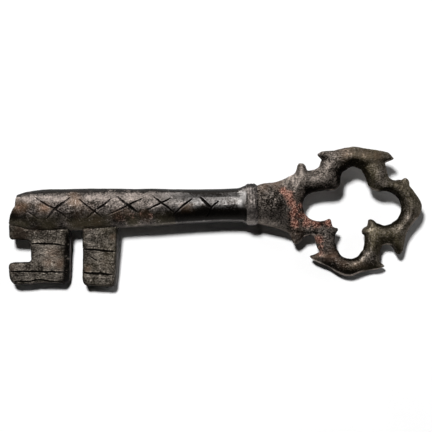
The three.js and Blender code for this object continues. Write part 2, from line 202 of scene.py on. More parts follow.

# Patches on the drawing: x, y and reach in millimetres
# Bright patches on the barrel: painted highlights, partly over worn metal
BARREL_BRIGHT = (
    (8.2, 2.4, 2.0), (7.4, 3.0, 1.8), (-48.0, 0.4, 1.4), (-29.5, 3.6, 2.6), (-22.5, 3.2, 2.6),
    (-16.4, 2.2, 3.4), (-11.6, 2.4, 2.4), (-7.4, 2.4, 1.6),
)
BARREL_BROWN = (
    (-55.9, 1.8, 2.2), (-48.4, 0.8, 2.0), (-40.5, 3.6, 2.0), (-28.1, -1.5, 2.6), (-25.5, -0.6, 1.8),
    (-20.6, -1.6, 2.2), (-34.0, -3.0, 1.8), (-8.6, -0.4, 2.2),
)
BARREL_DARK = ((-2.4, -0.2, 1.6), (-57.9, -1.1, 1.4), (-24.4, 0.6, 0.8))
BARREL_RED = ((-18.8, -1.9, 1.3), (-21.4, -1.4, 1.0))
BARREL_ORANGE = ((-27.5, -2.2, 2.4), (-24.0, -1.9, 1.8), (-48.6, 1.0, 1.2), (-56.2, 1.6, 1.2))
# Painted highlight streak on the shoulder's flare by the collar
BARREL_HIGHLIGHT_STREAK = ((8.1, 3.3, 0.8), (7.7, 2.4, 0.8), (7.3, 1.5, 0.8), (6.9, 0.6, 0.7))
FRONT_BROWN = ((-47.7, -12.0, 2.2), (-48.7, -14.4, 2.0), (-45.8, -15.0, 1.8), (-56.9, -6.2, 2.6))
FRONT_BRIGHT = ((-49.4, -12.4, 3.2), (-47.6, -14.6, 2.6))
FRONT_DARK = ((-56.8, -6.4, 2.6),)
REAR_BROWN = ((-29.8, -7.7, 1.4), (-37.6, -16.8, 1.1))
REAR_BRIGHT = ((-34.2, -14.8, 1.6), (-35.0, -13.0, 1.2))
BIT_GLINTS = (
    (-43.2, -13.7, 0.22), (-43.6, -12.9, 0.16), (-46.5, -17.8, 0.2), (-34.0, -18.7, 0.22),
    (-37.5, -18.6, 0.18), (-36.6, -20.0, 0.16), (-43.0, -9.6, 0.16),
)
BOW_DARK = (
    (35.5, -19.0, 2.4), (39.0, -19.6, 2.4), (14.2, 0.8, 2.2), (16.0, 2.8, 2.4), (13.0, 3.4, 1.6),
    (18.2, 0.4, 2.0), (44.6, -17.0, 1.6), (36.0, 9.3, 1.8), (26.8, 4.5, 1.2), (22.6, -7.7, 1.4),
    (37.5, -20.1, 2.0), (40.0, 11.8, 2.4), (51.6, -13.6, 1.8), (47.2, -10.8, 1.8), (33.4, -17.6, 1.8),
    (50.6, -10.6, 1.4), (46.0, -12.6, 1.6),
)
BOW_GLINTS = (
    (14.2, 2.0, 2.6), (16.6, 3.6, 2.2), (20.3, 6.5, 1.8), (22.4, 7.4, 1.8), (30.4, 8.8, 1.6),
    (31.6, 11.0, 1.8),
)
# Bright patches on the bow: worn metal and painted highlights on crests
BOW_BRIGHT = (
    (14.4, 3.9, 0.8), (15.8, 3.6, 0.7), (20.3, 6.5, 1.7), (22.0, 7.3, 1.8), (23.6, 8.3, 1.7),
    (25.0, 9.8, 1.5), (28.6, 7.4, 1.4), (29.2, -15.4, 2.2), (38.6, 14.6, 1.6), (42.6, 14.3, 1.4),
    (55.0, -4.6, 0.8), (52.8, -7.4, 0.8), (39.1, -17.4, 0.8), (41.5, -16.0, 0.8), (42.9, -14.3, 0.8),
    (44.3, -7.5, 1.1), (47.7, -9.1, 0.9), (24.0, 0.2, 0.7),
)
BOW_BROWN = (
    (31.4, -15.8, 2.4), (28.4, -15.0, 2.0), (38.5, 14.4, 3.0), (43.0, 13.8, 3.0), (40.8, 12.4, 2.4),
    (46.6, 13.6, 2.0), (40.0, -18.4, 3.0), (42.8, 9.0, 1.4), (33.2, -15.2, 2.4), (23.4, -8.0, 2.6),
    (14.0, 5.4, 2.2), (17.4, 6.0, 2.4), (36.0, -18.0, 2.4),
)
CRUST_SPOTS = (
    (19.4, 4.1, 1.3), (20.8, 2.6, 1.8), (21.7, 0.6, 1.6), (22.7, -1.5, 1.5), (24.2, -3.4, 1.8),
    (25.6, -5.0, 2.0), (28.6, -5.5, 1.8), (32.2, -5.2, 1.8), (29.2, -10.4, 1.5), (29.8, -14.4, 1.5),
    (29.8, -12.4, 1.0), (22.6, -5.2, 1.8), (21.8, -2.8, 1.6), (33.4, -5.8, 1.2), (24.2, -0.4, 1.0),
    (26.2, -3.2, 1.0),
)

# Lobes of the bow's opening: middle, reach, and how far a wall must face the middle to be painted dark, with
# shade over the dark patina
LOBES = ((30.3, -0.7, 4.6, 0.62), (40.5, 6.6, 3.5, 0.38), (49.1, -2.2, 4.9, 0.60), (39.1, -12.3, 4.1, 0.64))

# The two bits: node, scored lines, crests, bright patches, brown patches, and how green the bit is
BITS = (
    ("front_bit", FRONT_BIT_CUTS, FRONT_BIT_CRESTS, FRONT_BRIGHT, FRONT_BROWN, 0.1),
    ("rear_bit", REAR_BIT_CUTS, REAR_BIT_CRESTS, REAR_BRIGHT, REAR_BROWN, 0.3),
)

# Masks that every skin carries for its material, 0 where a piece doesn't name one
# The first mask darkens the patina in cuts and pits and also carries painted shade; the second lightens worn
# metal and also carries painted highlights, glints and rim light; the last lays a pale, less metallic paint
# where highlights, glints and rim light are painted
MASKS = ("hollow_and_shade", "wear_and_highlight", "polished", "browned", "crusted", "greened", "painted_highlight")


def drawing(points):
    """Frame millimetres to the drawing: x, y over the key's flat, z out of it from the barrel's axis."""
    across = points[:, 1] - AXIS_Y
    height = points[:, 2] - AXIS_Z
    return np.stack([
        points[:, 0] - COLLAR_LOW[0] + DRAWN_COLLAR[0],
        across * math.cos(LYING_ROLL) + height * math.sin(LYING_ROLL) + DRAWN_AXIS_Y,
        height * math.cos(LYING_ROLL) - across * math.sin(LYING_ROLL)], axis=1)


def framed(points):
    """Places on the drawing as frame millimetres."""
    across = points[:, 1] - DRAWN_AXIS_Y
    height = points[:, 2]
    return np.stack([
        points[:, 0] + COLLAR_LOW[0] - DRAWN_COLLAR[0],
        AXIS_Y + across * math.cos(LYING_ROLL) - height * math.sin(LYING_ROLL),
        AXIS_Z + across * math.sin(LYING_ROLL) + height * math.cos(LYING_ROLL)], axis=1)


def clipped(values):
    """Values kept from 0 to 1."""
    return np.clip(values, 0, 1)


def rising(values, start, run):
    """0 up to a start, rising to 1 over a run."""
    return clipped((values - start) / run)


def falling(values, end, run):
    """1 until a run before an end, falling to 0 at the end."""
    return clipped((end - values) / run)


def hump(values, middle, reach):
    """1 at a middle, fading to both sides over a reach."""
    return np.exp(-((values - middle) / reach) ** 2)


def lattice_noise(points, size, seed):
    """Smooth random values from -1 to 1 over space, alike at each run."""
    table = np.random.default_rng(seed).uniform(-1.0, 1.0, (32, 32, 32))
    grid = points / size
    base = np.floor(grid).astype(int)
    part = grid - base
    part = part * part * (3 - 2 * part)
    total = np.zeros(len(points))
    for corner in range(8):
        step = np.array([corner & 1, (corner >> 1) & 1, (corner >> 2) & 1])
        weight = np.prod(np.where(step == 1, part, 1 - part), axis=1)
        cell = (base + step) % 32
        total += weight * table[cell[:, 0], cell[:, 1], cell[:, 2]]
    return total


def rough(points, sizes, seed):
    """Several sizes of noise added together, each with its own strength."""
    total = np.zeros(len(points))
    for level, (size, strength) in enumerate(sizes):
        total += strength * lattice_noise(points + 17.3 * level, size, seed + level)
    return total


def cut_reach(points, cuts, width):
    """How far each point lies from the nearest scored line, in half widths of that line."""
    reach = np.full(len(points), NO_LINE)
    sway = np.stack([lattice_noise(points, 1.6, 3), lattice_noise(points, 1.6, 4)], axis=1)
    flat = points[:, :2] + 0.16 * sway
    for share, *corners in cuts:
        corners = np.array(corners)
        lengths = np.linalg.norm(np.diff(corners, axis=0), axis=1)
        done = 0.0
        for start, end, length in zip(corners, corners[1:], lengths):
            along = end - start
            place = clipped(((flat - start) @ along) / length ** 2)
            apart = np.linalg.norm(flat - (start + place[:, None] * along), axis=1)
            run = (done + place * length) / lengths.sum()
            half = 0.5 * width * share * (1.0 - 0.7 * np.abs(2 * run - 1) ** 4)
            reach = np.minimum(reach, apart / half)
            done += length
    return np.where(points[:, 2] > 0, reach, NO_LINE)


def scored(points, cuts, width):
    """Grooves of scored lines and the raised lips beside them."""
    reach = cut_reach(points, cuts, width)
    return clipped(1 - reach), clipped(1 - np.abs(reach - 1.5) / 0.6)


def crest_highlights(points, crests):
    """Crests painted bright as highlights, partly over worn metal, written like scored lines of 0.6 mm."""
    return clipped(1.3 - cut_reach(points, crests, 0.6))


def pit_depth(points, count, smallest, largest, seed):
    """Scattered round pits, from 0 at their rims to 1."""
    rng = np.random.default_rng(seed)
    depth = np.zeros(len(points))
    for centre in points[rng.integers(0, len(points), count)]:
        radius = rng.uniform(smallest, largest)
        near = np.abs(points[:, 0] - centre[0]) < radius
        apart = np.linalg.norm(points[near] - centre, axis=1) / radius
        depth[near] = np.maximum(depth[near], clipped(1 - apart * apart) * rng.uniform(0.4, 1.0))
    return depth


def near_spots(points, spots):
    """Soft patches round places on the seen side of the drawing: x, y, reach."""
    total = np.zeros(len(points))
    for x, y, reach in spots:
        apart = np.hypot(points[:, 0] - x, points[:, 1] - y) / reach
        total = np.maximum(total, np.exp(-apart ** 2))
    return total * clipped(0.5 + points[:, 2])


def rim_light_share(normals):
    """1 on the thin strip of a skin that turns down to the lower side of the drawing, where a bright rim of
    reflected light is painted.
    """
    level = np.hypot(normals[:, 0], normals[:, 1])
    strip = clipped(1.2 - np.abs(level - 0.90) / 0.06) * clipped(normals[:, 2] * 5)
    return strip * clipped((-normals[:, 1] - 0.45) * 4)


def seen_side(points):
    """1 on the seen side of a round skin, fading out just past its middle."""
    return clipped(1 + points[:, 2] / 1.5)


def shaded_upper_edge(points, normals):
    """1 on the strip of a round skin that turns away to the upper side of the drawing, where shade is
    painted.
    """
    return rising(normals[:, 1], 0.76, 0.12) * seen_side(points)


def shaded_inner_wall(points, normals):
    """1 on the walls of the bow's opening, which face the middle of one of its four lobes, where shade is
    painted over the dark patina.
    """
    total = np.zeros(len(points))
    for x, y, radius, least in LOBES:
        way = np.array([x, y]) - points[:, :2]
        apart = np.linalg.norm(way, axis=1)
        facing = (normals[:, :2] * way).sum(axis=1) / np.maximum(apart, 0.1)
        total = np.maximum(total, rising(facing, least, 0.3) * (apart < radius + 2.6))
    return total


def read_points(mesh):
    flat = np.empty(len(mesh.vertices) * 3)
    mesh.vertices.foreach_get("co", flat)
    return flat.reshape(-1, 3)


def write_points(mesh, points):
    mesh.vertices.foreach_set("co", np.ascontiguousarray(points).reshape(-1))
    mesh.update()


def read_normals(mesh):
    flat = np.empty(len(mesh.vertices) * 3)
    mesh.vertex_normals.foreach_get("vector", flat)
    return flat.reshape(-1, 3)


def neighbour_mean(mesh):
    """Function that turns a value at each point of a skin into the mean of those at the points beside it."""
    count = len(mesh.vertices)
    ends = np.empty(len(mesh.edges) * 2, dtype=np.int32)
    mesh.edges.foreach_get("vertices", ends)
    one, other = ends.reshape(-1, 2).T
    near = np.bincount(ends, minlength=count)

    def mean(values):
        total = np.bincount(one, values[other], count) + np.bincount(other, values[one], count)
        return total / near

    return mean


def settle(mesh):
    """Even out the steps of a skin without drawing it in."""
    points = read_points(mesh)
    mean = neighbour_mean(mesh)
    for _ in range(SETTLING):
        for share in (0.5, -0.53):
            for axis in range(3):
                values = points[:, axis]
                points[:, axis] = values + share * (mean(values) - values)
    write_points(mesh, points)


def soften(mesh, passes):
    """Round the ridges of a skin by evening out its heights alone, which keeps its outline."""
    points = read_points(mesh)
    mean = neighbour_mean(mesh)
    for _ in range(passes):
        heights = points[:, 2]
        points[:, 2] = 0.5 * heights + 0.5 * mean(heights)
    write_points(mesh, points)


def even_skin(node, name, fineness, reshape=None):
    """Copy of a frame node as one even skin, in millimetres on the drawing."""
    mesh = bpy.data.meshes.new(name)
    shape = bmesh.new()
    shape.from_mesh(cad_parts[node].data)
    bmesh.ops.remove_doubles(shape, verts=shape.verts, dist=1e-6)
    shape.to_mesh(mesh)
    shape.free()
    mesh.materials.clear()
    points = drawing(read_points(mesh) / MM)
    write_points(mesh, reshape(points) if reshape else points)
    piece = bpy.data.objects.new(name, mesh)
    bpy.context.collection.objects.link(piece)
    even = piece.modifiers.new("even", "REMESH")
    even.mode = "VOXEL"
    even.voxel_size = fineness / MM
    skin = bpy.data.meshes.new_from_object(piece.evaluated_get(bpy.context.evaluated_depsgraph_get()))
    piece.modifiers.clear()
    piece.data = skin
    skin.name = name
    bpy.data.meshes.remove(mesh)
    if len(skin.vertices) < LEAST_POINTS:
        raise RuntimeError(f"{name}: the even skin came out empty")
    settle(skin)
    return piece


def refine(mesh, wanted, times):
    """Halve the steps of a skin, several times over, where a test of its points asks for it."""
    for _ in range(times):
        close = wanted(read_points(mesh))
        shape = bmesh.new()
        shape.from_mesh(mesh)
        edges = [edge for edge in shape.edges if close[edge.verts[0].index] and close[edge.verts[1].index]]
        bmesh.ops.subdivide_edges(shape, edges=edges, cuts=1, use_grid_fill=True)
        shape.to_mesh(mesh)
        shape.free()


def finish_piece(piece, node, depth, masks, material):
    """Push the skin in by the given depths, store the masks, keep to the CAD box and hand it over."""
    mesh = piece.data
    points = framed(read_points(mesh) - read_normals(mesh) * depth[:, None]) * MM
    write_points(mesh, np.clip(points, np.array(CAD_BOX[0]), np.array(CAD_BOX[1])))
    for name in MASKS:
        values = clipped(masks[name]) if name in masks else np.zeros(len(points))
        layer = mesh.attributes.new(name, "FLOAT", "POINT")
        layer.data.foreach_set("value", values.astype(np.float32))
    mesh.shade_smooth()
    mesh.materials.clear()
    mesh.materials.append(material)
    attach(piece, "root")
    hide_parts(node)


class Value:
    """Socket of a node tree with arithmetic that adds Math nodes."""

    def __init__(self, tree, socket=None):
        self.tree = tree
        self.socket = socket

    def node(self, kind, settings=None, values=None, output=0):
        """Add a node of a kind, set it up, fill its sockets and return one output."""
        made = self.tree.nodes.new(kind)
        for name, setting in (settings or {}).items():
            setattr(made, name, setting)
        for name, value in (values or {}).items():
            socket = made.inputs[name]
            if isinstance(value, Value):
                self.tree.links.new(value.socket, socket)
            elif socket.type == "RGBA":
                socket.default_value = (*value, 1.0)
            else:
                socket.default_value = value
        return Value(self.tree, made.outputs[output] if made.outputs else None)

    def _math(self, operation, first, second):
        return self.node("ShaderNodeMath", {"operation": operation}, {0: first, 1: second})

    def __add__(self, other):
        return self._math("ADD", self, other)

    def __radd__(self, other):
        return self._math("ADD", other, self)

    def __sub__(self, other):
        return self._math("SUBTRACT", self, other)

    def __rsub__(self, other):
        return self._math("SUBTRACT", other, self)

    def __mul__(self, other):
        return self._math("MULTIPLY", self, other)

    def __rmul__(self, other):
        return self._math("MULTIPLY", other, self)

    def clamped(self):
        return self.node("ShaderNodeClamp", {}, {"Value": self})

    def between(self, low, high):
        """0 below low, 1 above high, smooth between."""
        return self.node(
            "ShaderNodeMapRange", {"interpolation_type": "SMOOTHSTEP"},
            {"Value": self, "From Min": low, "From Max": high, "To Min": 0.0, "To Max": 1.0})

    def blend(self, first, second):
        """Colour that goes from the first to the second as this value goes from 0 to 1."""
        return self.node("ShaderNodeMix", {"data_type": "RGBA"}, {0: self, 6: first, 7: second}, output=2)

    def stretched(self, factors):
        """This vector with its parts multiplied."""
        return self.node("ShaderNodeVectorMath", {"operation": "MULTIPLY"}, {0: self, 1: factors})

    def noise(self, size_mm, detail, roughness):
        """Cloudy noise over this place, from 0 to 1, with features of a size."""
        return self.node(
            "ShaderNodeTexNoise", {"noise_dimensions": "3D"},
            {"Vector": self, "Scale": 1.0 / (size_mm * MM), "Detail": detail, "Roughness": roughness})

    def mask(self, name):
        """Mask stored on the piece's skin."""
        return self.node("ShaderNodeAttribute", {"attribute_name": name}, {}, output=2)


def start_tree(owner):
    """Empty the nodes of a material, world or lamp, for its expressions to start from."""
    owner.use_nodes = True
    owner.node_tree.nodes.clear()
    return Value(owner.node_tree)


def bronze(
        name, metal, worn, patina, brown, crust, olive,
        grazing, share, contrast, patchy, streak, grain_mm, grain_depth_mm):
    """Aged bronze: dark skin, bare metal on high grains and worn places, warm patches, crust and bloom, with
    painted shade, painted highlights, glints and rim light laid in through its masks.
    """
    material = bpy.data.materials.new(name)
    place = start_tree(material).node("ShaderNodeTexCoord", output="Object")
    grain = place.noise(grain_mm, 2.0, 0.55)
    patch = place.noise(PATCH_MM, 3.0, 0.6)
    broad = place.noise(BROAD_MM, 2.0, 0.5)
    scratch = place.stretched((0.16, 1.0, 1.0)).noise(SCRATCH_MM, 3.0, 0.65)
    hollow_and_shade, wear_and_highlight, polished, browned, crusted, greened, painted_highlight = (place.mask(mask) for mask in MASKS)
    high = (grain - 0.5) * contrast + (patch - 0.5) * patchy + (scratch - 0.5) * streak
    high = high * (1.0 - polished * 0.4)
    tone = (high + wear_and_highlight * 0.5 - hollow_and_shade * 0.5 + share).clamped()
    metal = polished.clamped().blend(metal, worn)
    base = tone.blend(patina, metal)
    warm = (browned * (0.2 + patch * 0.9) + (broad - 0.6) * 1.2).clamped() * (1.0 - hollow_and_shade).clamped()
    base = warm.blend(base, brown)
    base = (greened * (0.1 + patch * 0.9)).clamped().blend(base, olive)
    rusty = crusted * 1.1 + (grain - 0.5) * 1.1 + (patch - 0.5) * 0.9 - 0.22
    rusty = rusty.between(0.0, 1.0) * crusted.between(0.05, 0.4)
    deep_red = (0.17 * crust[0], 0.09 * crust[1], 0.08 * crust[2])
    rust = (grain * 6.5 + patch * 2.4 - 4.25).clamped().blend(deep_red, crust)
    base = rusty.blend(base, rust)
    base = (high - 0.26 + wear_and_highlight * 0.2).between(0.0, 0.24).blend(base, metal)
    # The patina of cuts and pits and the painted shade go near black, with dark specks between the grains
    black = (hollow_and_shade * 1.1 - 0.1 + (0.33 - grain) * (1.5 - rusty)).clamped()
    base = black.blend(base, tuple(0.3 * part for part in patina))
    # Pale, less metallic paint for painted highlights, glints and rim light
    base = (painted_highlight * (0.5 + grain * 0.6)).clamped().blend(base, tuple(1.6 * part for part in worn))
    height = (grain * 0.7 + patch * 0.35 + scratch * (0.6 * streak)) * (1.0 - polished * 0.65)
    bump = place.node(
        "ShaderNodeBump", {}, {"Height": height, "Distance": grain_depth_mm * MM, "Strength": 1.0})
    roughness = (0.60 - tone * 0.14 - polished * 0.14 + (patch - 0.5) * 0.2 + rusty * 0.12).clamped()
    surface = place.node(
        "ShaderNodeBsdfPrincipled", {},
        {"Base Color": base, "Roughness": roughness, "Metallic": 0.94 - rusty * 0.45 - painted_highlight * 0.6,
         "Normal": bump, "Specular Tint": (grazing, grazing, grazing)})
    place.node("ShaderNodeOutputMaterial", {}, {"Surface": surface})
    return material


def barrel_bronze(context):
    """Bronze of the barrel and its collar, with a highlight band painted along the top."""
    settings = context.scene.door_key_barrel
    bow = context.scene.door_key_bow
    return bronze(
        "barrel_bronze", settings.metal, settings.worn, settings.patina, settings.brown,
        bow.crust, bow.olive, grazing=0.8, share=0.19, contrast=1.5, patchy=1.3, streak=0.5,
        grain_mm=0.46, grain_depth_mm=0.17)


def seat_shoulder(points):
    """Carry the barrel's shoulder into the collar, which closes the seam, and wear the mouth back."""
    out = points.copy()
    out[:, 0] += 0.28 * np.clip(WORN_MOUTH_X - points[:, 0], 0, 2)
    out[points[:, 0] > DRAWN_COLLAR[0] - 0.3, 0] += 0.5
    return out


def file_flat(points):
    """Long flat filed on the seen side of the barrel beside the collar."""
    x, y, z = points.T
    stations = np.arange(-14, 10)
    radius = [np.hypot(y - DRAWN_AXIS_Y, z)[np.abs(x - station) < 0.5].max() for station in stations]
    out = points.copy()
    run = rising(x, -9, 5) * falling(x, 8.4, 3)
    flat = np.interp(x, stations, radius) - 0.28 - 0.30 * (y - 1.5)
    out[:, 2] -= run * np.clip(z - flat, 0, 0.5) * 0.9
    return out


def seat_bit(points):
    """Carry the top edge of a bit into the barrel, which closes the seam along its root."""
    out = points.copy()
    out[points[:, 1] > BIT_ROOT_Y, 1] += 0.6
    return out


def slant_side(points):
    """Lean of the front bit's far side and of its foot, which were filed away from the face."""
    x, y, z = points.T
    edge = -43.8 + (y + 9.7) * 0.087
    lean = clipped((x - edge) / 1.5) * falling(y, -6.3, 1.0)
    out = points.copy()
    out[:, 2] -= 2.3 * lean * rising(z, -2.2, 4.4)
    return out


def seat_neck(points):
    """Carry the neck's start into the collar, drawn in to a soft groove, and settle the bow's outline."""
    out = points.copy()
    x, y, z = points.T
    # Upper bar of the left lobe, then the bottom bar, the left lower limb and the outside of the right lobe
    out[:, 1] -= 0.7 * hump(x, 29.5, 4.5) * falling(y, 7.4, 2) * rising(y, 1.0, 1.5)
    out[:, 1] -= 0.5 * hump(x, 37.0, 4.0) * falling(y, -17.6, 1.5)
    out[:, 0] -= 0.8 * falling(x, 31.8, 2.2) * hump(y, -12.0, 2.2)
    out[:, 0] -= 0.4 * rising(x, 54.0, 2) * hump(y, -5.0, 5)
    hook = (x > HOOK[0]) & (y < HOOK[1])
    out[hook, 1] = HOOK[1] + 0.72 * (y[hook] - HOOK[1])
    start = np.abs(x - DRAWN_COLLAR[1] - 0.15) < 0.05
    out[start, 0] -= 0.5
    out[start, 1] = DRAWN_AXIS_Y + 0.95 * (out[start, 1] - DRAWN_AXIS_Y)
    out[start, 2] *= 0.95
    return out


class DOORKEY_OT_barrel(bpy.types.Operator):
    """Make the scored barrel"""
    bl_idname = "doorkey.barrel"
    bl_label = "Barrel"

    def execute(self, context):
        settings = context.scene.door_key_barrel
        width = settings.cut_width / MM
        piece = even_skin("barrel", "barrel_worked", settings.fineness * BARREL_COARSER, seat_shoulder)
        write_points(piece.data, file_flat(read_points(piece.data)))
        refine(piece.data, lambda points: cut_reach(points, BARREL_CUTS, width) < 2.2, 1)
        points = read_points(piece.data)
        normals = read_normals(piece.data)
        x, y, z = points.T
        groove, lip = scored(points, BARREL_CUTS, width)
        smooth = rising(x, -20, 14) * falling(x, 9.5, 3)
        coarse = rough(points, ((6.0, 0.08), (2.4, 0.05)), 11) * (1 - 0.6 * smooth)
        fine = rough(points, ((0.8, 0.018), (0.5, 0.012)), 13) * (1 - 0.7 * smooth)
        pits = pit_depth(points, 140, 0.2, 0.45, 21) * (1 - 0.7 * smooth)
        depth = 0.02 + coarse + fine + 0.09 * pits + groove * settings.cut_depth / MM - 0.05 * lip
        rim_light = rim_light_share(normals) * rising(x, -32, 4)
        # Painted highlight band along the top of the barrel
        band = hump(y, 3.6, 0.8) * (z > 0) * falling(x, -6, 6)
        # Painted shade on the lower side, strongest towards the collar, and on the strip above the filed
        # flat
        lower_shade = falling(y, 0.0, 2.2) * (0.10 + 0.9 * rising(x, -20, 10)) * seen_side(points)
        shade_above_flat = rising(x, -10, 4) * falling(x, 7, 2) * rising(y, 3.2, 1.0) * (z > 0)
        # Cuts and pits darken with patina and the rest of the darkening is painted shade; the lightening
        # holds the painted highlight band, bright patches, painted glints on the lips of the cuts, the
        # painted rim light and painted highlights on crests
        masks = {
            "hollow_and_shade": (
                (0.7 + 0.5 * rising(x, -30, 15)) * groove + 0.6 * pits
                + lower_shade * (1 - rim_light) + 0.8 * shaded_upper_edge(points, normals) + 0.45 * shade_above_flat
                + 0.5 * near_spots(points, BARREL_DARK)),
            "wear_and_highlight": (
                band * (0.85 + 0.4 * lattice_noise(points, 3.0, 31))
                + 0.3 * near_spots(points, BARREL_BRIGHT) + 0.3 * lip + 0.25 * rim_light
                + 0.5 * crest_highlights(points, BARREL_CRESTS)),
            "polished": smooth,
            "browned": near_spots(points, BARREL_BROWN),
            "crusted": np.maximum(
                0.5 * near_spots(points, BARREL_RED), 0.4 * near_spots(points, BARREL_ORANGE)),
            "greened": falling(y, -0.4, 2) * clipped(0.5 + lattice_noise(points, 4.0, 33)) * (x < -12),
            "painted_highlight": near_spots(points, BARREL_HIGHLIGHT_STREAK),
        }
        finish_piece(piece, "barrel", depth, masks, barrel_bronze(context))
        return {"FINISHED"}


class DOORKEY_OT_collar(bpy.types.Operator):
    """Make the bead collar between the barrel and the bow"""
    bl_idname = "doorkey.collar"
    bl_label = "Collar"

    def execute(self, context):
        piece = even_skin("collar", "collar_worked", context.scene.door_key_barrel.fineness)
        points = read_points(piece.data)
        normals = read_normals(piece.data)
        x, y, z = points.T
        grain = rough(points, ((3.0, 0.08), (1.2, 0.03), (0.6, 0.02)), 81)
        turned = 0.05 * np.cos(2 * np.pi * (x - 8.9) / 0.9)
        pits = pit_depth(points, 30, 0.2, 0.45, 83)
        depth = 0.02 + grain + turned + 0.08 * pits
        # Darker in the groove between the collar and the neck
        seam = clipped(1.3 - (DRAWN_COLLAR[1] - x) / 0.6)
        masks = {
            "hollow_and_shade": (
                0.5 * pits + 0.3 * seam + 0.7 * shaded_upper_edge(points, normals)
                + 0.2 * lattice_noise(points, 1.4, 85)),
            # The lower half of the seen side is painted lighter, and the lower edge carries the painted rim
            # light
            "wear_and_highlight": (0.24 + 0.2 * (y < 0.5)) * (z > 0) + 0.4 * rim_light_share(normals),
            "polished": np.full(len(points), 0.3),
        }
        finish_piece(piece, "collar", depth, masks, barrel_bronze(context))
        return {"FINISHED"}


class DOORKEY_OT_bits(bpy.types.Operator):
    """Make the notched front bit and the plain rear bit"""
    bl_idname = "doorkey.bits"
    bl_label = "Bits"

    def execute(self, context):
        settings = context.scene.door_key_bits
        bow = context.scene.door_key_bow
        material = bronze(
            "bit_bronze", settings.metal, settings.metal, settings.patina, settings.brown,
            bow.crust, bow.olive, grazing=0.8, share=0.185, contrast=1.4, patchy=1.2, streak=0.35,
            grain_mm=0.42, grain_depth_mm=0.15)
        for node, *marks in BITS:
            make_bit(settings, context.scene.door_key_barrel.fineness, material, node, *marks)
        return {"FINISHED"}


def make_bit(settings, fineness, material, node, cuts, crests, bright, brown, green):
    """One bit plate with its scored lines, and with the slanted side where it is the front one."""
    width = settings.cut_width / MM
    piece = even_skin(node, f"{node}_worked", fineness, seat_bit)
    if node == "front_bit":
        write_points(piece.data, slant_side(read_points(piece.data)))
    soften(piece.data, BIT_SOFTENING)
    refine(piece.data, lambda points: cut_reach(points, cuts, width) < 2.4, 2)
    points = read_points(piece.data)
    normals = read_normals(piece.data)
    x, y, z = points.T
    groove, lip = scored(points, cuts, width)
    grain = rough(points, ((4.0, 0.09), (1.6, 0.06), (0.7, 0.03), (0.45, 0.015)), 41)
    pits = pit_depth(points, 90, 0.2, 0.45, 43)
    depth = 0.03 + grain + 0.1 * pits + groove * settings.cut_depth / MM - 0.04 * lip
    # Darker on the sloping sides and rounded edges
    flank = falling(normals[:, 2], 0.96, 0.4) * (z > -1)
    # Painted reflection on the lower part of the far side
    foot = falling(z, -1.0, 0.5) * clipped(normals[:, 0] * 2)
    # Pale line painted along the rear bit's far arris
    arris_light = clipped(1 - np.abs(normals[:, 2] - 0.75) / 0.2) * (normals[:, 0] > 0.3) * (node == "rear_bit")
    # Darker at the top of the bits, below the barrel
    root = rising(y, -9.0, 1.5) * (x > -54)
    masks = {
        "hollow_and_shade": (
            1.3 * groove + 0.6 * pits + 0.6 * flank + 0.12 * root
            + 0.7 * near_spots(points, FRONT_DARK)),
        # The lightening holds painted glints on the lips of the cuts, the painted reflections and rim light,
        # and painted highlights on crests
        "wear_and_highlight": (
            0.25 * lattice_noise(points, 3.0, 47) + 0.3 * lip + 0.4 * arris_light + 0.6 * foot
            + 0.5 * crest_highlights(points, crests) + 0.6 * near_spots(points, bright)
            + 0.5 * rim_light_share(normals)),
        "browned": near_spots(points, brown),
        "greened": green * clipped(0.6 + lattice_noise(points, 4.0, 49)),
        "painted_highlight": near_spots(points, BIT_GLINTS),
    }
    finish_piece(piece, node, depth, masks, material)


